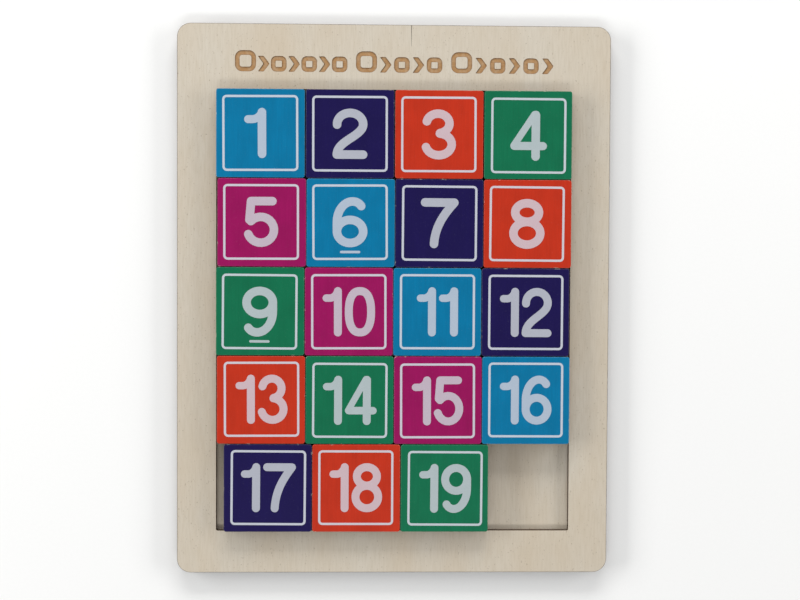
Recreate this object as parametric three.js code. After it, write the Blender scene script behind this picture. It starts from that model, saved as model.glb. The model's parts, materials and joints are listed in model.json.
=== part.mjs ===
// A sliding tile puzzle: a plywood tray with a rectangular window, and nineteen loose
// numbered tiles that fill all but one of its twenty cells. Millimetres, +Z up.
// The board lies flat. X runs across it, and Y towards its wide, decorated edge.
// The origin is under the middle of the board, on the surface that it lies on.

import * as THREE from 'three';

// ---- driving dimensions ----
const BOARD_WIDTH = 223;
const BOARD_LENGTH = 283;
const BOARD_CORNER_RADIUS = 7;
const BACK_THICKNESS = 2.5;
const FRAME_THICKNESS = 2.5;
const GLUE_LINE = 0.3; // clearance between the back board and what lies on it

const TRAY_WIDTH = 182.5;
const TRAY_LENGTH = 227.5;
const TRAY_CORNER_RADIUS = 0.6; // left by the cutting beam
const FRONT_BORDER = 22; // from the board's plain edge to the tray
const TRAY_MIDDLE_Y = -BOARD_LENGTH / 2 + FRONT_BORDER + TRAY_LENGTH / 2;

const COLUMNS = 4;
const ROWS = 5;
const TILE_COUNT = COLUMNS * ROWS - 1;
const TILE_SIZE = 45;
const TILE_THICKNESS = 7.5;
const TILE_CORNER_RADIUS = 1.2;
const TILE_ROW_GAP = 0.4; // between one row and the next
const BACK_ROW_CLEARANCE = 0.6; // between the first row and the tray's wall

// How each row lies in the tray's slack: its distance from the left wall, and the
// gap between its tiles. The last row has been pushed well off the wall.
const ROW_PLACES = [
  { start: 0.35, gap: 0.6 },
  { start: 1.1, gap: 0.35 },
  { start: 0.35, gap: 0.35 },
  { start: 0.85, gap: 0.35 },
  { start: 4.4, gap: 0.4 },
];

const BOARD_CORNER_SEGMENTS = 8;
const TILE_CORNER_SEGMENTS = 4;

// ---- finishes ----
const PLYWOOD = { color: '#cbc3b2', roughness: 0.65, metalness: 0 };
const TILE_COLOURS = ['#0f7aae', '#201b5c', '#d23a24', '#1a7d52', '#a31a5b'];
const TILE_FINISH = { roughness: 0.45, metalness: 0 };

// ---- outlines ----

// Traces a rectangle with round corners anticlockwise, its middle on the Y axis.
function traceRoundedRectangle(path, width, length, radius, middleY = 0) {
  const x = width / 2 - radius;
  const y = length / 2 - radius;
  const quarter = Math.PI / 2;
  const corners = [[x, y], [-x, y], [-x, -y], [x, -y]];
  corners.forEach(([cornerX, cornerY], turn) => {
    path.absarc(cornerX, middleY + cornerY, radius, turn * quarter, (turn + 1) * quarter, false);
  });
  path.closePath();
  return path;
}

function extrude(shape, thickness, curveSegments) {
  return new THREE.ExtrudeGeometry(shape, {
    depth: thickness,
    curveSegments,
    bevelEnabled: false,
  });
}

// ---- pieces ----

function boardOutline() {
  const outline = new THREE.Shape();
  return traceRoundedRectangle(outline, BOARD_WIDTH, BOARD_LENGTH, BOARD_CORNER_RADIUS);
}

function makeBackBoard() {
  const geometry = extrude(boardOutline(), BACK_THICKNESS, BOARD_CORNER_SEGMENTS);
  return new THREE.Mesh(geometry, new THREE.MeshStandardMaterial(PLYWOOD));
}

// The frame has the board's outline, and its window is nearer to the plain edge.
function makeTrayFrame() {
  const outline = boardOutline();
  const window = new THREE.Path();
  traceRoundedRectangle(window, TRAY_WIDTH, TRAY_LENGTH, TRAY_CORNER_RADIUS, TRAY_MIDDLE_Y);
  outline.holes.push(window);
  const geometry = extrude(outline, FRAME_THICKNESS, BOARD_CORNER_SEGMENTS);
  return new THREE.Mesh(geometry, new THREE.MeshStandardMaterial(PLYWOOD));
}

function makeTile(number) {
  const outline = new THREE.Shape();
  traceRoundedRectangle(outline, TILE_SIZE, TILE_SIZE, TILE_CORNER_RADIUS);
  const geometry = extrude(outline, TILE_THICKNESS, TILE_CORNER_SEGMENTS);
  const color = TILE_COLOURS[(number - 1) % TILE_COLOURS.length];
  return new THREE.Mesh(geometry, new THREE.MeshStandardMaterial({ color, ...TILE_FINISH }));
}

// ---- assembly ----

const FLOOR_Z = BACK_THICKNESS + GLUE_LINE;
const FIRST_ROW_Y = TRAY_MIDDLE_Y + TRAY_LENGTH / 2 - BACK_ROW_CLEARANCE - TILE_SIZE / 2;

const puzzle = new THREE.Group();

function place(mesh, name, x, y, z) {
  mesh.name = name;
  mesh.position.set(x, y, z);
  puzzle.add(mesh);
}

place(makeBackBoard(), 'back_board', 0, 0, 0);
place(makeTrayFrame(), 'tray_frame', 0, 0, FLOOR_Z);

// Tiles are counted from the decorated edge, left to right.
for (let index = 0; index < TILE_COUNT; index += 1) {
  const row = Math.floor(index / COLUMNS);
  const column = index % COLUMNS;
  const { start, gap } = ROW_PLACES[row];
  const x = -TRAY_WIDTH / 2 + start + TILE_SIZE / 2 + column * (TILE_SIZE + gap);
  const y = FIRST_ROW_Y - row * (TILE_SIZE + TILE_ROW_GAP);
  const number = index + 1;
  place(makeTile(number), `tile_${String(number).padStart(2, '0')}`, x, y, FLOOR_Z);
}

export default puzzle;
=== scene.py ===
"""A wooden sliding tile puzzle: a plywood tray and nineteen loose, printed number tiles."""

import json
import random
from contextlib import contextmanager
from math import atan2, copysign, cos, pi, radians, sin, tau

import bmesh
import bpy
from bpy.props import FloatProperty, FloatVectorProperty, IntProperty, PointerProperty
from mathutils import Matrix, Vector


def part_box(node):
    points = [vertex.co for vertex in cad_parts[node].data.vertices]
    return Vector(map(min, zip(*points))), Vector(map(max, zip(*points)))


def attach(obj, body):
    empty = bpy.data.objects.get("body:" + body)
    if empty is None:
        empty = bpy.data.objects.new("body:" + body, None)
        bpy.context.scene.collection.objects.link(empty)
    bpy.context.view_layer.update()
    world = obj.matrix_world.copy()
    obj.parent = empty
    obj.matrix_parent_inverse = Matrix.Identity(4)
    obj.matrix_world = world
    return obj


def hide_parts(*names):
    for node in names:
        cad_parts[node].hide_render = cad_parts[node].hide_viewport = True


bl_info = {
    "name": "Sliding Tile Puzzle",
    "version": (1, 0, 0),
    "blender": (4, 5, 0),
    "location": "3D View > Sidebar > Puzzle",
    "description": "Models a plywood tray puzzle with printed wooden number tiles",
    "category": "Object",
}

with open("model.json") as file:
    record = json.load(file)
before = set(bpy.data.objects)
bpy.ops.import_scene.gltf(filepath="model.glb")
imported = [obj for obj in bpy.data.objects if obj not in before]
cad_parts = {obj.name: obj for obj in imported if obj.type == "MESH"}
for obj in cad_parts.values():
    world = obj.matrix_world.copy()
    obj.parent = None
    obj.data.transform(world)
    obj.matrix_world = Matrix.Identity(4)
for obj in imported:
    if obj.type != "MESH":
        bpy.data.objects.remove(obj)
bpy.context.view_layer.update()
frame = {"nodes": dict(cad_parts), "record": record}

MM = 0.001
GLUE = 0.02 * MM  # left open between the two sheets
TILES = sorted(node for node in frame["nodes"] if node.startswith("tile_"))
SLOTS = {part["node"]: part["material_slot"] for part in frame["record"]["subparts"]}


def linear(hex_colour):
    """Turns an sRGB hex colour to linear RGBA."""
    channels = [int(hex_colour[i:i + 2], 16) / 255 for i in (1, 3, 5)]
    return (*(c / 12.92 if c <= 0.04045 else ((c + 0.055) / 1.055) ** 2.4 for c in channels), 1.0)


# ---- what a user would change ----

def colour_setting(name, description, hex_colour):
    return FloatVectorProperty(
        name=name, description=description, subtype="COLOR", size=4, min=0, max=1,
        default=linear(hex_colour))


def length_setting(name, description, millimetres):
    return FloatProperty(
        name=name, description=description, unit="LENGTH", default=millimetres * MM)


def share_setting(name, description, share):
    return FloatProperty(
        name=name, description=description, subtype="FACTOR", min=0, max=1, default=share)


def power_setting(name, description, watts):
    return FloatProperty(name=name, description=description, unit="POWER", min=0, default=watts)


class BoardSettings(bpy.types.PropertyGroup):
    corner: length_setting("Corner", "Radius of the board's corners", 7)
    tray_width: length_setting("Tray Width", "Inner width of the tray", 182.5)
    tray_length: length_setting("Tray Length", "Inner length of the tray", 227.5)
    tray_corner: length_setting("Tray Corner", "Radius left in the tray's corners", 0.6)
    front_border: length_setting("Front Border", "From the board's front edge to the tray", 22)
    ease: length_setting("Eased Edge", "How far sanding has rounded the sheets' edges", 0.22)
    veneer: colour_setting("Veneer", "Pale face of the plywood", "#cdc4b4")
    fibre: colour_setting("Fibre", "Darker fibres in the plywood's face", "#bcb19d")
    pore: colour_setting("Pore", "Short pores and specks in the plywood's face", "#8d7d66")
    warm: colour_setting("Warm Wood", "Warmer bands in the plywood's face", "#c3b094")
    char: colour_setting("Char", "Edges burnt by the cutting beam", "#24190f")
    toasted: colour_setting("Toasted", "Plies that the cutting beam only browned", "#7a5a38")
    engraving: colour_setting("Engraving", "Floor of the burnt ornament", "#ac8252")
    scorch: colour_setting("Scorch", "Darker rim of the burnt ornament", "#805a34")
    engraving_depth: length_setting("Engraving Depth", "Depth of the burnt ornament", 0.25)


class TileSettings(bpy.types.PropertyGroup):
    corner: length_setting("Corner", "Radius of a tile's upright edges", 1.2)
    ease: length_setting("Eased Edge", "Rounding of a tile's printed edge", 0.22)
    blue: colour_setting("Blue", "Printed on tiles 1, 6, 11 and 16", "#0076a3")
    navy: colour_setting("Navy", "Printed on tiles 2, 7, 12 and 17", "#1a114d")
    red: colour_setting("Orange Red", "Printed on tiles 3, 8, 13 and 18", "#c4331a")
    green: colour_setting("Green", "Printed on tiles 4, 9, 14 and 19", "#0f704c")
    magenta: colour_setting("Magenta", "Printed on tiles 5, 10 and 15", "#9a0f5a")
    ink: colour_setting("White Ink", "Numbers and line squares where they hide all below", "#cbcfd7")
    number_cover: share_setting(
        "Number Cover", "How much of the tile's colour a number hides", 0.73)
    line_cover: share_setting(
        "Line Cover", "How much of the tile's colour a line square hides", 0.92)
    ink_height: length_setting("Ink Height", "How far the cured ink stands up", 0.05)
    line_square: length_setting("Line Square", "Outer side of the printed line square", 38.6)
    line_corner: length_setting("Line Corner", "Outer corner radius of the line square", 2.2)
    line_width: length_setting("Line Width", "Width of the printed line", 1.15)
    misprint: length_setting("Misprint", "How far a print may lie off its tile's middle", 0.35)
    misprint_turn: FloatProperty(
        name="Misprint Turn", description="How far a print may be turned on its tile",
        subtype="ANGLE", default=radians(0.35))
    seed: IntProperty(name="Misprint Seed", description="Picks another set of misprints", default=11)


class StageSettings(bpy.types.PropertyGroup):
    paper: colour_setting("Paper", "Floor that the puzzle lies on", "#f6f6f4")
    left_light: power_setting("Left Light", "Power of the low light on the left", 25.0)
    right_light: power_setting("Right Light", "Power of the low light on the right", 16.5)
    back_light: power_setting(
        "Back Light", "Power of the low light beyond the wide border", 26.0)
    front_light: power_setting(
        "Front Light", "Power of the higher light on the plain border's side", 9.5)
    fill: FloatProperty(
        name="Fill", description="Strength of the light from all round", min=0, default=0.11)
    lens: FloatProperty(
        name="Lens", description="Focal length on a 36 mm wide sensor", unit="CAMERA", default=50)
    camera_height: length_setting("Camera Height", "From the floor up to the camera", 579.3)


class PuzzleSettings(bpy.types.PropertyGroup):
    board: PointerProperty(type=BoardSettings, name="Board", description="Both plywood sheets")
    tiles: PointerProperty(type=TileSettings, name="Tiles", description="All nineteen tiles")
    stage: PointerProperty(type=StageSettings, name="Stage", description="Floor, lights, camera")


# ---- modelling helpers ----

FLAT = 0.999  # a normal that points this much along Z belongs to a flat face
UPRIGHT = 0.99
RIM_ANGLE = radians(60)  # edges sharper than this are eased
SMOOTH_ANGLE = radians(50)
PAST = 1 * MM  # how far a cutter reaches past the face that it cuts
RING_CORNER_STEPS = 6


def activate(piece):
    bpy.ops.object.select_all(action="DESELECT")
    piece.select_set(True)
    bpy.context.view_layer.objects.active = piece


def add_primitive(add, **settings):
    """Adds a primitive with nothing else selected."""
    bpy.ops.object.select_all(action="DESELECT")
    add(**settings)
    return bpy.context.active_object


def add_block(low, high):
    """A cube stretched between two corners, with its place in its mesh."""
    low, high = Vector(low), Vector(high)
    block = add_primitive(bpy.ops.mesh.primitive_cube_add, size=1, location=(low + high) / 2)
    block.scale = high - low
    bpy.ops.object.transform_apply(location=True, rotation=True, scale=True)
    return block


@contextmanager
def editing(piece):
    """Edit mode on one piece alone."""
    activate(piece)
    bpy.ops.object.mode_set(mode="EDIT")
    yield
    bpy.ops.object.mode_set(mode="OBJECT")


def select(piece, kind, test):
    """In edit mode, selects the verts, edges or faces that pass a test, and nothing else."""
    kinds = ("verts", "edges", "faces")
    bpy.context.tool_settings.mesh_select_mode = [kind == each for each in kinds]
    bpy.ops.mesh.select_all(action="DESELECT")
    shape = bmesh.from_edit_mesh(piece.data)
    for element in getattr(shape, kind):
        if test(element):
            element.select_set(True)
    shape.select_flush_mode()
    bmesh.update_edit_mesh(piece.data)


def is_upright(edge):
    along = edge.verts[0].co - edge.verts[1].co
    return abs(along.normalized().z) > UPRIGHT


def is_rim(edge):
    """A sharp edge that lies flat, such as one round the top of a sheet."""
    return not is_upright(edge) and edge.calc_face_angle(0) > RIM_ANGLE


def combine(piece, other, operation):
    """Joins another solid to a piece or cuts it away. Faces keep their materials."""
    modifier = piece.modifiers.new(operation.title(), "BOOLEAN")
    modifier.operation = operation
    modifier.solver = "EXACT"
    modifier.material_mode = "TRANSFER"
    modifier.object = other
    activate(piece)
    bpy.ops.object.modifier_apply(modifier=modifier.name)
    bpy.data.objects.remove(other)


def join(pieces):
    """Joins pieces into the first one's mesh."""
    activate(pieces[0])
    for piece in pieces[1:]:
        piece.select_set(True)
    bpy.ops.object.join()
    return pieces[0]


def copy_piece(piece, name, place):
    """A copy with its own mesh, which is moved and turned to its place."""
    copied = piece.copy()
    copied.data = piece.data.copy()
    copied.data.transform(place)
    copied.name = name
    bpy.context.scene.collection.objects.link(copied)
    return copied


def smooth(piece):
    """Smooths round corners and eased rims, and keeps the flat faces flat."""
    activate(piece)
    bpy.ops.object.shade_smooth_by_angle(angle=SMOOTH_ANGLE)
    modifier = piece.modifiers.new("Flat Faces", "WEIGHTED_NORMAL")
    modifier.weight = 100
    modifier.keep_sharp = True
    bpy.ops.object.modifier_apply(modifier=modifier.name)


def paint(piece, materials, choose):
    """Gives each face the material whose number choose returns."""
    piece.data.materials.clear()
    for material in materials:
        piece.data.materials.append(material)
    for polygon in piece.data.polygons:
        polygon.material_index = choose(polygon)


def by_normal(polygon):
    """0 for a face that lies flat, and 1 for a wall or a slope."""
    return 0 if abs(polygon.normal.z) > FLAT else 1


def thicken(height):
    """In edit mode, makes a flat outline into a closed solid."""
    bpy.ops.mesh.select_all(action="SELECT")
    bpy.ops.mesh.extrude_region_move(TRANSFORM_OT_translate={"value": (0, 0, height)})
    bpy.ops.mesh.select_all(action="SELECT")
    bpy.ops.mesh.normals_make_consistent(inside=False)


def square_ring(side, corner, width, bottom, top):
    """A square line with round corners as a flat solid between two heights."""
    ring = add_primitive(bpy.ops.mesh.primitive_plane_add, size=side)
    with editing(ring):
        bpy.ops.mesh.select_all(action="SELECT")
        bpy.ops.mesh.bevel(offset=corner, segments=RING_CORNER_STEPS, affect="VERTICES")
        bpy.ops.mesh.select_all(action="SELECT")
        bpy.ops.mesh.inset(thickness=width)
        bpy.ops.mesh.delete(type="FACE")
        bpy.ops.mesh.select_all(action="SELECT")
        bpy.ops.transform.translate(value=(0, 0, bottom))
        thicken(top - bottom)
    return ring


# ---- pen strokes, in millimetres about a figure's middle ----

STROKE_STEPS = 20
RING_STEPS = 64
CAP_STEPS = 10


def pen_stroke(points, pen=1.0, closed=False):
    """A centre line to be drawn with a round pen. Pen is a share of the pen's usual width."""
    return {"points": [Vector(point) for point in points], "pen": pen, "closed": closed}


def line(start, end, pen=1.0):
    return pen_stroke([start, end], pen)


def arc(centre, radii, start, end, pen=1.0):
    """Part of an ellipse, from one angle to another in degrees."""
    angles = [radians(start + (end - start) * i / STROKE_STEPS) for i in range(STROKE_STEPS + 1)]
    (x, y), (rx, ry) = centre, radii
    return pen_stroke([(x + rx * cos(a), y + ry * sin(a)) for a in angles], pen)


def sweep(start, first_pull, second_pull, end):
    """A cubic curve between two points, pulled towards two others."""
    corners = [Vector(corner) for corner in (start, first_pull, second_pull, end)]
    points = []
    for i in range(STROKE_STEPS + 1):
        t = i / STROKE_STEPS
        shares = ((1 - t) ** 3, 3 * t * (1 - t) ** 2, 3 * t * t * (1 - t), t ** 3)
        points.append(sum((c * share for c, share in zip(corners, shares)), Vector((0, 0))))
    return pen_stroke(points)


def oval(centre, radii, squareness=2.0):
    """A closed ring. Squareness 2 is an ellipse, and more makes it a rounded box."""
    points = []
    for i in range(RING_STEPS):
        c, s = cos(tau * i / RING_STEPS), sin(tau * i / RING_STEPS)
        x = radii[0] * copysign(abs(c) ** (2 / squareness), c)
        y = radii[1] * copysign(abs(s) ** (2 / squareness), s)
        points.append((centre[0] + x, centre[1] + y))
    return pen_stroke(points, closed=True)


def changed(strokes, change):
    """The same strokes with each point changed."""
    return [{**stroke, "points": [change(p) for p in stroke["points"]]} for stroke in strokes]


SIX = [
    oval((0, -4.7), (6.7, 5.9)),
    line((-6.7, -4.7), (-6.7, 0)),
    arc((1.3, 0), (8, 10.6), 180, 90),
    arc((1.3, 5.9), (5.1, 4.7), 90, 30),
]

FIGURES = {
    "0": [oval((0, 0), (6.75, 10.6), 2.4)],
    "1": [
        line((3.42, -10.6), (3.42, 10.6)),
        line((-3.6, 7), (-1.6, 7), pen=0.93),
        arc((-1.6, 12.1), (5.1, 5.1), -90, -30, pen=0.93),
    ],
    "2": [
        arc((0.05, 4.9), (6.65, 5.7), 183, 0),
        sweep((6.7, 4.9), (6.7, -1.2), (-6.6, -3.4), (-6.7, -10.6)),
        line((-6.7, -10.6), (6.7, -10.6)),
    ],
    "3": [
        arc((-0.35, 5.6), (5.85, 5), 168, -80),
        arc((0, -5.05), (6.7, 5.55), 85, -165),
    ],
    "4": [
        line((3.77, -10.6), (3.77, 10.6)),
        line((-7.2, -5.25), (7.5, -5.25), pen=0.95),
        line((3.1, 10.9), (-7.5, -5.1), pen=0.8),
    ],
    "5": [
        line((5.75, 10.6), (-5, 10.6)),
        line((-5.1, 10.6), (-5.95, 1.1)),
        arc((-0.2, -4), (6.75, 6.6), 138, -160),
    ],
    "6": SIX,
    "7": [
        line((-7.5, 10.6), (7.5, 10.6)),
        sweep((7.5, 10.6), (2.2, 4.6), (-2.2, -1.5), (-2.75, -10.6)),
    ],
    "8": [oval((0, 5.85), (6.1, 4.75)), oval((0, -4.8), (6.9, 5.8))],
    "9": changed(SIX, lambda point: -point),
}

WIDE = {"squeeze": 1.0, "pen": 2.18}  # a number of one figure
NARROW = {"squeeze": 0.845, "pen": 2.04}  # a number of two figures
FIGURE_GAP = 1.5
LONE_ONE_SHIFT = -2.6  # a one alone stands left of the middle
UNDERLINE_Y = -15.2  # the bar that tells a six from a nine
UNDERLINE = [line((-4.55, UNDERLINE_Y), (4.55, UNDERLINE_Y))]
UNDERLINE_PEN = 0.65


def beside(points, closed, offset):
    """The points moved sideways, to their right as the stroke runs."""
    moved = []
    last = len(points) - 1
    for i, point in enumerate(points):
        before = points[i - 1] if i > 0 or closed else point
        after = points[(i + 1) % len(points)] if i < last or closed else point
        along = (after - before).normalized()
        moved.append(point + offset * Vector((along.y, -along.x)))
    return moved


def round_end(middle, start):
    """A half circle from one side of a stroke's end to the other side."""
    spoke = start - middle
    angles = [atan2(spoke.y, spoke.x) + pi * i / CAP_STEPS for i in range(1, CAP_STEPS)]
    return [middle + spoke.length * Vector((cos(a), sin(a))) for a in angles]


def stroke_outline(stroke, half):
    points = stroke["points"]
    right = beside(points, stroke["closed"], half)
    if stroke["closed"]:
        return right
    left = beside(points, False, -half)[::-1]
    return right + round_end(points[-1], right[-1]) + left + round_end(points[0], left[-1])


def stroke_solid(stroke, pen, bottom, top):
    """One pen stroke as a flat solid between two heights."""
    half = pen * stroke["pen"]
    outline = stroke_outline(stroke, half)
    solid = add_primitive(
        bpy.ops.mesh.primitive_circle_add, vertices=len(outline), fill_type="NGON")
    for vertex, point in zip(solid.data.vertices, outline):
        vertex.co = (point.x * MM, point.y * MM, bottom)
    with editing(solid):
        bpy.ops.mesh.select_all(action="SELECT")
        if stroke["closed"]:
            bpy.ops.mesh.inset(thickness=2 * half * MM)
            bpy.ops.mesh.delete(type="FACE")
        thicken(top - bottom)
    return solid


def drawn_solid(strokes, pen, bottom, top):
    """Several pen strokes made into one flat solid."""
    first, *others = [stroke_solid(stroke, pen, bottom, top) for stroke in strokes]
    for other in others:
        combine(first, other, "UNION")
    return first


# ---- materials ----

MIX_FACTOR, MIX_A, MIX_B, MIX_RESULT = 0, 6, 7, 2  # a colour Mix node's sockets


def add_node(tree, kind, inputs, **settings):
    """Adds a node. Settings are its properties, and inputs are values or sockets to link."""
    node = tree.nodes.new(kind)
    for name, value in settings.items():
        setattr(node, name, value)
    for name, value in inputs.items():
        if isinstance(value, bpy.types.NodeSocket):
            tree.links.new(value, node.inputs[name])
        else:
            node.inputs[name].default_value = value
    return node


def start_material(name, roughness, specular=0.5):
    material = bpy.data.materials.new(name)
    material.use_nodes = True
    shader = material.node_tree.nodes["Principled BSDF"]
    shader.inputs["Roughness"].default_value = roughness
    shader.inputs["Specular IOR Level"].default_value = specular
    return material, material.node_tree, shader


def shade(colour, share, added=0.0):
    """A colour darkened to a share of itself, with some white added."""
    return (*(channel * share + added for channel in colour[:3]), 1.0)


def grain_pattern(tree, size_mm, between, strength, detail=3.0):
    """Cloudy noise whose marks have a real size along X, Y and Z, as a share from 0 to strength.
    The share is 0 for noise below the first value of between, and full above the second."""
    place = add_node(tree, "ShaderNodeTexCoord", {}).outputs["Object"]
    scale = tuple(1 / (size * MM) for size in size_mm)
    sized = add_node(tree, "ShaderNodeMapping", {"Vector": place, "Scale": scale})
    noise = add_node(
        tree, "ShaderNodeTexNoise",
        {"Vector": sized.outputs["Vector"], "Scale": 1.0, "Detail": detail})
    low, high = between
    share = add_node(
        tree, "ShaderNodeMapRange",
        {"Value": noise.outputs["Fac"], "From Min": low, "From Max": high, "To Max": strength})
    return share.outputs["Result"]


def finish_surface(tree, shader, ground, layers, relief=None):
    """Lays colours over a ground, each by its share. Relief is a share, and how many
    millimetres the surface rises where that share is full."""
    colour = tuple(ground)
    for share, cover in layers:
        mixed = add_node(
            tree, "ShaderNodeMix", {MIX_FACTOR: share, MIX_A: colour, MIX_B: tuple(cover)},
            data_type="RGBA")
        colour = mixed.outputs[MIX_RESULT]
    tree.links.new(colour, shader.inputs["Base Color"])
    if relief:
        share, rise = relief
        bump = add_node(tree, "ShaderNodeBump", {"Height": share, "Distance": rise * MM})
        tree.links.new(bump.outputs["Normal"], shader.inputs["Normal"])


def veneer_material(board):
    """Sanded basswood plywood: pale and matt, with fine fibres that run up the board, wide
    soft bands, and short dark pores."""
    material, tree, shader = start_material("sanded_basswood_plywood", roughness=0.62)
    fibres = grain_pattern(tree, (0.8, 9, 6), (0.4, 0.8), 0.65, detail=4)
    bands = grain_pattern(tree, (26, 70, 40), (0.35, 0.7), 0.45)
    pores = grain_pattern(tree, (0.5, 1.2, 1), (0.69, 0.78), 0.7, detail=1)
    layers = [(fibres, board.fibre), (bands, board.warm), (pores, board.pore)]
    finish_surface(tree, shader, board.veneer, layers, relief=(fibres, -0.03))
    return material


PLY = 0.8 * MM  # a ply's thickness, as dark and light plies take turns
WAVE_PERIOD = pi / 10  # length of a Wave node's cycle at scale 1


def cut_edge_material(board):
    """Laser-cut plywood edge: charred nearly black, browner on the middle plies, with the
    beam's fine upright ridges."""
    material, tree, shader = start_material("laser_cut_plywood_edge", roughness=0.7)
    place = add_node(tree, "ShaderNodeTexCoord", {}).outputs["Object"]
    scale = WAVE_PERIOD / (2 * PLY)
    plies = add_node(
        tree, "ShaderNodeTexWave",
        {"Vector": place, "Scale": scale, "Distortion": 0.6, "Detail Scale": 2.0},
        bands_direction="Z")
    plies_share = add_node(
        tree, "ShaderNodeMapRange",
        {"Value": plies.outputs["Fac"], "From Min": 0.45, "From Max": 0.75, "To Max": 0.7})
    ridges = grain_pattern(tree, (0.4, 0.4, 5), (0.35, 0.7), 0.6)
    layers = [(plies_share.outputs["Result"], board.toasted), (ridges, board.char)]
    finish_surface(tree, shader, board.char, layers, relief=(ridges, 0.04))
    return material


def engraving_materials(board):
    """Laser-engraved basswood: a toasted floor with the beam's fine scan lines, and a darker
    scorched rim. The lines are drawn at 0.35 mm, coarser than real, so that they show."""
    made = []
    for name, colour, dark in (
            ("laser_engraved_basswood", board.engraving, 0.45),
            ("laser_scorched_basswood", board.scorch, 0.6)):
        material, tree, shader = start_material(name, roughness=0.8)
        scan_lines = grain_pattern(tree, (9, 0.35, 5), (0.4, 0.65), dark)
        clouds = grain_pattern(tree, (1.6, 2.4, 3), (0.4, 0.7), 0.3)
        layers = [(scan_lines, board.scorch), (clouds, board.warm)]
        finish_surface(tree, shader, colour, layers, relief=(scan_lines, -0.03))
        made.append(material)
    return made


def lacquer_material(name, colour):
    """UV-cured lacquer printed on sanded basswood: a satin, even colour in which the wood's
    fibres still stand up, with faint clouds and dust specks."""
    material, tree, shader = start_material(
        f"printed_lacquer_{name}", roughness=0.38, specular=0.3)
    deep, pale = shade(colour, 0.72), shade(colour, 0.85, added=0.06)
    fibres = grain_pattern(tree, (0.7, 18, 5), (0.35, 0.75), 0.4)
    clouds = grain_pattern(tree, (9, 14, 9), (0.35, 0.7), 0.45)
    specks = grain_pattern(tree, (0.45, 0.5, 0.45), (0.68, 0.78), 0.5, detail=1)
    layers = [(clouds, deep), (fibres, deep), (specks, pale)]
    finish_surface(tree, shader, colour, layers, relief=(fibres, -0.02))
    return material


def rubbed_material(name, colour, board):
    """The lacquer on a tile's eased edge, painted paler all along as a painted highlight where the
    rounded edge catches the light, with short stretches of bare-wood colour."""
    material, tree, shader = start_material(
        f"rubbed_lacquer_{name}", roughness=0.5, specular=0.3)
    bare_patches = grain_pattern(tree, (3, 3, 3), (0.64, 0.7), 0.6)
    # A little veneer colour over the whole eased edge: painted highlight.
    thin = grain_pattern(tree, (0.8, 0.8, 0.8), (0.35, 0.7), 0.12)
    layers = [(thin, board.veneer), (bare_patches, board.veneer)]
    finish_surface(tree, shader, colour, layers, relief=(bare_patches, -0.05))
    return material


def ink_material(name, colour, tiles, cover):
    """White screen-printed ink: satin, a little thin, so that the colour below tints it, and
    finely mottled by the screen."""
    material, tree, shader = start_material(name, roughness=0.42, specular=0.3)
    below, ink = Vector(colour[:3]), Vector(tiles.ink[:3])
    covered = (*below.lerp(ink, cover), 1.0)
    thinner = (*below.lerp(ink, cover * 0.9), 1.0)
    mottle = grain_pattern(tree, (0.6, 0.6, 0.6), (0.35, 0.7), 0.8)
    clouds = grain_pattern(tree, (6, 9, 6), (0.35, 0.7), 0.6)
    layers = [(mottle, thinner), (clouds, thinner)]
    finish_surface(tree, shader, covered, layers, relief=(mottle, 0.01))
    return material


def colour_name(node):
    """The colour that a tile's material slot is named for."""
    return SLOTS[node].removesuffix("_tile")


# ---- the board ----

SHEET_CORNER_STEPS = 12
ORNAMENT_GROUPS = ((-51.8, 7, 7.8), (3.6, 5, 8.4), (57.3, 6, 8.6))  # middle, icons, pitch
ORNAMENT_BASE = 117.0  # from the board's middle up to the ornament's foot
ICON_SIDE = 8.0 * MM  # of a little tile, and an arrow's height
ICON_CORNER = 2.7 * MM
ICON_LINE = 2.4 * MM
ARROW = ((-2.9, -4), (0.1, -4), (3.1, 0), (0.1, 4), (-2.9, 4), (0, 0))
ARROW_CORNER = 0.5 * MM
FIRST_ICON_SHARE = 1.35  # how much bigger the first icon of a group is
ARROW_CORNER_STEPS = 4
SCORCHED_RIM = 0.2 * MM
TRAY_CORNER_STEPS = 3
SPLIT_X = 8.5 * MM  # where a hairline split runs in from the wide border's edge
SPLIT_LENGTH = 11 * MM
SPLIT_WIDTH = 0.32 * MM
SPLIT_DEPTH = 0.35 * MM
SPLIT_TAPER = 0.25  # its width at the inner end, as a share


def sheet_block(low, high, board):
    """A plywood sheet with the board's rounded corners."""
    sheet = add_block(low, high)
    with editing(sheet):
        select(sheet, "edges", is_upright)
        bpy.ops.mesh.bevel(offset=board.corner, segments=SHEET_CORNER_STEPS)
    return sheet


def ease_rims(piece, distance, steps=2):
    with editing(piece):
        select(piece, "edges", is_rim)
        bpy.ops.mesh.bevel(offset=distance, segments=steps, clamp_overlap=False)


def arrow_solid(bottom, top):
    """An arrow head as a flat solid between two heights."""
    solid = add_primitive(
        bpy.ops.mesh.primitive_circle_add, vertices=len(ARROW), fill_type="NGON")
    for vertex, (x, y) in zip(solid.data.vertices, ARROW):
        vertex.co = (x * MM, y * MM, bottom)
    with editing(solid):
        bpy.ops.mesh.select_all(action="SELECT")
        bpy.ops.mesh.bevel(offset=ARROW_CORNER, segments=ARROW_CORNER_STEPS, affect="VERTICES")
        thicken(top - bottom)
    return solid


def engraver(cutter, materials):
    """Gives a cutter a floor with a scorched rim."""
    with editing(cutter):
        select(cutter, "faces", lambda face: face.normal.z < -FLAT)
        bpy.ops.mesh.inset(thickness=SCORCHED_RIM)
        bpy.ops.object.mode_set(mode="OBJECT")
        inner = {polygon.index for polygon in cutter.data.polygons if polygon.select}
    paint(cutter, materials, lambda polygon: 0 if polygon.index in inner else 1)
    return cutter


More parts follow.
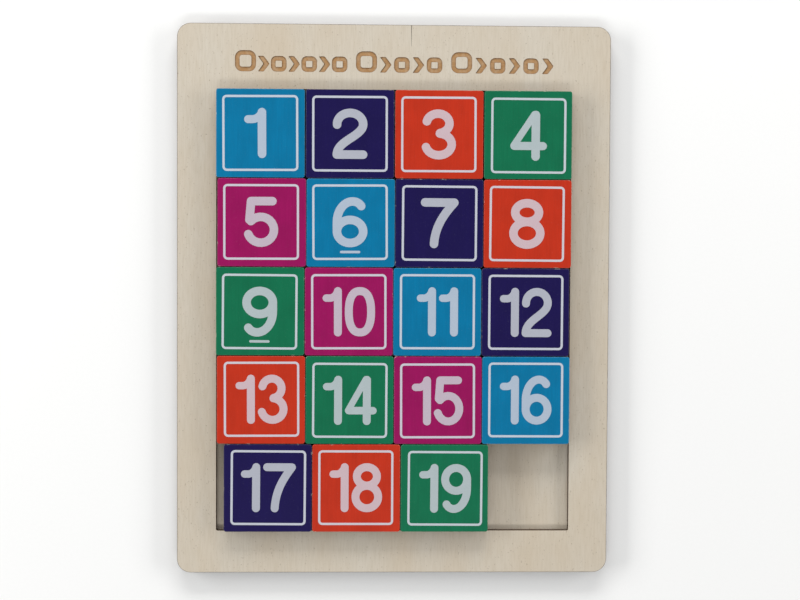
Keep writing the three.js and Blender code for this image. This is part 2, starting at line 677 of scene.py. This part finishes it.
def engrave_ornament(sheet, board, face_height):
    """Burns rows of little tiles and arrows into the wide border."""
    materials = engraving_materials(board)
    floor, above = face_height - board.engraving_depth, face_height + PAST
    cutters = []
    for middle, count, pitch in ORNAMENT_GROUPS:
        for i in range(count):
            share = 1 if i else FIRST_ICON_SHARE
            side = ICON_SIDE * share
            if i % 2:
                cutter = arrow_solid(floor, above)
            else:
                cutter = square_ring(side, ICON_CORNER * share, ICON_LINE, floor, above)
            x = (middle + (i - (count - 1) / 2) * pitch) * MM - (side - ICON_SIDE) / 2
            cutter.data.transform(Matrix.Translation((x, ORNAMENT_BASE * MM + side / 2, 0)))
            cutters.append(engraver(cutter, materials))
    combine(sheet, join(cutters), "DIFFERENCE")


def split_veneer(sheet, high, split_shadow_material):
    """Cuts the hairline split that runs in from the wide border's edge; its dark faces are painted
    shadow.
    """
    left, right = SPLIT_X - SPLIT_WIDTH / 2, SPLIT_X + SPLIT_WIDTH / 2
    cutter = add_block(
        (left, high.y - SPLIT_LENGTH, high.z - SPLIT_DEPTH), (right, high.y + PAST, high.z + PAST))
    with editing(cutter):
        select(cutter, "faces", lambda face: face.normal.y < -FLAT)
        bpy.ops.transform.resize(value=(SPLIT_TAPER, 1, 1))
    # Every face of the split takes the dark charred colour: painted shadow in the crack.
    paint(cutter, [split_shadow_material], lambda polygon: 0)
    combine(sheet, cutter, "DIFFERENCE")


class PUZZLE_OT_back_panel(bpy.types.Operator):
    """Models the plywood sheet that closes the tray"""
    bl_idname = "puzzle.back_panel"
    bl_label = "Back Panel"

    def execute(self, context):
        board = context.scene.puzzle.board
        low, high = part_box("back_board")
        high.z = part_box("tray_frame")[0].z - GLUE
        panel = sheet_block(low, high, board)
        panel.name = "back_panel"
        ease_rims(panel, board.ease)
        paint(panel, [veneer_material(board), cut_edge_material(board)], by_normal)
        smooth(panel)
        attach(panel, "tray")
        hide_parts("back_board")
        return {"FINISHED"}


class PUZZLE_OT_frame_sheet(bpy.types.Operator):
    """Models the plywood sheet with the tray's window and the burnt ornament"""
    bl_idname = "puzzle.frame_sheet"
    bl_label = "Frame Sheet"

    def execute(self, context):
        board = context.scene.puzzle.board
        low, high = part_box("tray_frame")
        sheet = sheet_block(low, high, board)
        sheet.name = "frame_sheet"
        half_width = board.tray_width / 2
        front = low.y + board.front_border
        window = add_block(
            (-half_width, front, low.z - PAST),
            (half_width, front + board.tray_length, high.z + PAST))
        with editing(window):
            select(window, "edges", is_upright)
            bpy.ops.mesh.bevel(offset=board.tray_corner, segments=TRAY_CORNER_STEPS)
        combine(sheet, window, "DIFFERENCE")
        ease_rims(sheet, board.ease)
        veneer = bpy.data.materials["sanded_basswood_plywood"]
        cut_edge = bpy.data.materials["laser_cut_plywood_edge"]
        paint(sheet, [veneer, cut_edge], by_normal)
        engrave_ornament(sheet, board, high.z)
        split_veneer(sheet, high, cut_edge)
        smooth(sheet)
        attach(sheet, "tray")
        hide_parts("tray_frame")
        return {"FINISHED"}


# ---- the tiles ----

TILE_CORNER_STEPS = 4
TILE_EASE_STEPS = 3
EASED = 0.05  # an eased edge's normal points at least this much up


def tile_block(tiles):
    """One tile about its box's middle, a little lower than its box to leave room for ink."""
    low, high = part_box(TILES[0])
    half = (high - low) / 2
    block = add_block(-half, (half.x, half.y, half.z - tiles.ink_height))
    with editing(block):
        select(block, "edges", is_upright)
        bpy.ops.mesh.bevel(offset=tiles.corner, segments=TILE_CORNER_STEPS)
    ease_rims(block, tiles.ease, steps=TILE_EASE_STEPS)
    return block


def tile_face(polygon):
    """0 printed top, 1 eased edge, 2 sawn side, 3 bare underside."""
    upward = polygon.normal.z
    if upward > FLAT:
        return 0
    if upward > EASED:
        return 1
    return 3 if upward < -FLAT else 2


def to_middle(node):
    low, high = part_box(node)
    return Matrix.Translation((low + high) / 2)


def misprints(tiles):
    """Where each tile's print lies: a little off its middle and slightly turned."""
    rng = random.Random(tiles.seed)
    places = {}
    for node in TILES:
        low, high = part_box(node)
        middle = (low + high) / 2
        off = Vector([rng.uniform(-tiles.misprint, tiles.misprint) for _ in range(2)])
        turn = Matrix.Rotation(rng.uniform(-1, 1) * tiles.misprint_turn, 4, "Z")
        face = Vector((middle.x + off.x, middle.y + off.y, high.z))
        places[node] = Matrix.Translation(face) @ turn
    return places


class PUZZLE_OT_tiles(bpy.types.Operator):
    """Models one lacquered wooden tile and copies it to all nineteen places"""
    bl_idname = "puzzle.tiles"
    bl_label = "Tiles"

    def execute(self, context):
        settings = context.scene.puzzle
        block = tile_block(settings.tiles)
        bare = bpy.data.materials["sanded_basswood_plywood"]
        cut_edge = bpy.data.materials["laser_cut_plywood_edge"]
        prints = {}
        for node in TILES:
            name = colour_name(node)
            if name not in prints:
                colour = getattr(settings.tiles, name)
                prints[name] = (
                    lacquer_material(name, colour), rubbed_material(name, colour, settings.board))
            tile = copy_piece(block, f"{node}_block", to_middle(node))
            paint(tile, [*prints[name], cut_edge, bare], tile_face)
            smooth(tile)
            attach(tile, node)
            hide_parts(node)
        bpy.data.objects.remove(block)
        return {"FINISHED"}


# ---- the prints ----

INK_SINK = 0.01 * MM  # how far ink reaches into the lacquer, so that no gap shows


def number_solid(text, tiles):
    """A printed number about the middle of its tile's face, its top at height 0."""
    style = WIDE if len(text) == 1 else NARROW
    bottom = -tiles.ink_height - INK_SINK
    solids, left = [], 0.0
    for figure in text:
        strokes = changed(FIGURES[figure], lambda p: Vector((p.x * style["squeeze"], p.y)))
        solid = drawn_solid(strokes, style["pen"], bottom, 0)
        xs = [vertex.co.x for vertex in solid.data.vertices]
        solid.data.transform(Matrix.Translation((left - min(xs), 0, 0)))
        left += max(xs) - min(xs) + FIGURE_GAP * MM
        solids.append(solid)
    shift = LONE_ONE_SHIFT * MM if text == "1" else 0
    for solid in solids:
        solid.data.transform(Matrix.Translation(((FIGURE_GAP * MM - left) / 2 + shift, 0, 0)))
    if text in "69":
        solids.append(drawn_solid(UNDERLINE, UNDERLINE_PEN, bottom, 0))
    return join(solids)


def place_print(piece, node, kind, place, tiles, cover):
    """Puts a print on its tile, in the ink for that tile's colour."""
    colour = colour_name(node)
    name = f"{kind}_ink_on_{colour}"
    ink = bpy.data.materials.get(name) or ink_material(name, getattr(tiles, colour), tiles, cover)
    piece.data.transform(place)
    piece.name = f"{node}_{kind}"
    paint(piece, [ink], lambda polygon: 0)
    smooth(piece)
    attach(piece, node)


class PUZZLE_OT_line_squares(bpy.types.Operator):
    """Models the printed line square and copies it to every tile"""
    bl_idname = "puzzle.line_squares"
    bl_label = "Line Squares"

    def execute(self, context):
        tiles = context.scene.puzzle.tiles
        ring = square_ring(
            tiles.line_square, tiles.line_corner, tiles.line_width,
            -tiles.ink_height - INK_SINK, 0)
        for node, place in misprints(tiles).items():
            copied = copy_piece(ring, "line", Matrix.Identity(4))
            place_print(copied, node, "line", place, tiles, tiles.line_cover)
        bpy.data.objects.remove(ring)
        return {"FINISHED"}


class PUZZLE_OT_numbers(bpy.types.Operator):
    """Draws every tile's number with a round pen"""
    bl_idname = "puzzle.numbers"
    bl_label = "Numbers"

    def execute(self, context):
        tiles = context.scene.puzzle.tiles
        for node, place in misprints(tiles).items():
            number = number_solid(str(int(node.removeprefix("tile_"))), tiles)
            place_print(number, node, "number", place, tiles, tiles.number_cover)
        return {"FINISHED"}


# ---- the stage ----

CAMERA_ASIDE = Vector((-0.01043, 0.01398))
CAMERA_TILT = (-1.387, -1.362, 0.252)  # degrees about X, Y and Z
WORLD_COLOUR = "#f4f6ff"
BACKDROP = 1.15  # brightness of the world where the camera sees it past the paper
PAPER_SIDE = 1.8  # metres, so that the paper ends within the lights' reach
FLOOR_GAP = 0.02 * MM  # keeps the paper off the board's underside
LIGHT_SIZE = (1.6, 0.4)  # metres, long side level
LIGHT_PLACES = {
    "left_light": (-1.5, 0.2, 0.5),
    "right_light": (1.5, 0.2, 0.5),
    "back_light": (0, 1.5, 0.55),
    "front_light": (0, -1.2, 1.1),
}


def paper_material(colour):
    """Matt white studio paper with a barely visible tooth."""
    material, tree, shader = start_material("matt_studio_paper", roughness=0.9)
    tooth = grain_pattern(tree, (1.5, 1.5, 1.5), (0.3, 0.7), 0.05)
    finish_surface(tree, shader, colour, [(tooth, linear("#dcdcdc"))])
    return material


def add_soft_light(name, place, power):
    """An area light that is aimed at the board's middle."""
    light = add_primitive(bpy.ops.object.light_add, type="AREA", location=place)
    light.name = name
    light.data.shape = "RECTANGLE"
    light.data.size, light.data.size_y = LIGHT_SIZE
    light.data.energy = power
    light.rotation_euler = (-Vector(place)).to_track_quat("-Z", "Y").to_euler()


class PUZZLE_OT_stage(bpy.types.Operator):
    """Adds the paper floor, the soft low lights and the camera above the board"""
    bl_idname = "puzzle.stage"
    bl_label = "Stage"

    def execute(self, context):
        scene, stage = context.scene, context.scene.puzzle.stage
        floor = add_primitive(
            bpy.ops.mesh.primitive_plane_add, size=PAPER_SIDE, location=(0, 0, -FLOOR_GAP))
        floor.name = "paper_floor"
        paint(floor, [paper_material(stage.paper)], lambda polygon: 0)

        for name, place in LIGHT_PLACES.items():
            add_soft_light(name, place, getattr(stage, name))

        world = bpy.data.worlds.new("studio")
        world.use_nodes = True
        tree = world.node_tree
        background = tree.nodes["Background"]
        background.inputs["Color"].default_value = linear(WORLD_COLOUR)
        seen = add_node(tree, "ShaderNodeLightPath", {}).outputs["Is Camera Ray"]
        strength = add_node(
            tree, "ShaderNodeMapRange", {"Value": seen, "To Min": stage.fill, "To Max": BACKDROP})
        tree.links.new(strength.outputs["Result"], background.inputs["Strength"])
        scene.world = world

        camera = add_primitive(
            bpy.ops.object.camera_add, location=(*CAMERA_ASIDE, stage.camera_height))
        camera.rotation_mode = "ZYX"
        camera.rotation_euler = [radians(angle) for angle in CAMERA_TILT]
        camera.data.lens = stage.lens
        scene.camera = camera
        scene.view_settings.view_transform = "Standard"
        return {"FINISHED"}


class PUZZLE_PT_sidebar(bpy.types.Panel):
    """Lists the puzzle's settings and the steps that model it"""
    bl_idname = "PUZZLE_PT_sidebar"
    bl_label = "Sliding Tile Puzzle"
    bl_space_type = "VIEW_3D"
    bl_region_type = "UI"
    bl_category = "Puzzle"

    def draw(self, context):
        settings = context.scene.puzzle
        for name in ("board", "tiles", "stage"):
            group = getattr(settings, name)
            box = self.layout.box()
            box.label(text=name.title())
            for setting in group.__annotations__:
                box.prop(group, setting)
        for operator in OPERATORS:
            self.layout.operator(operator.bl_idname)


OPERATORS = (
    PUZZLE_OT_back_panel,
    PUZZLE_OT_frame_sheet,
    PUZZLE_OT_tiles,
    PUZZLE_OT_line_squares,
    PUZZLE_OT_numbers,
    PUZZLE_OT_stage,
)
CLASSES = (
    BoardSettings, TileSettings, StageSettings, PuzzleSettings, *OPERATORS, PUZZLE_PT_sidebar)


def register():
    for each in CLASSES:
        bpy.utils.register_class(each)
    bpy.types.Scene.puzzle = PointerProperty(type=PuzzleSettings)


def unregister():
    del bpy.types.Scene.puzzle
    for each in reversed(CLASSES):
        bpy.utils.unregister_class(each)


def main():
    register()
    bpy.ops.puzzle.back_panel()
    bpy.ops.puzzle.frame_sheet()
    bpy.ops.puzzle.tiles()
    bpy.ops.puzzle.line_squares()
    bpy.ops.puzzle.numbers()
    bpy.ops.puzzle.stage()


if __name__ == "__main__":
    main()
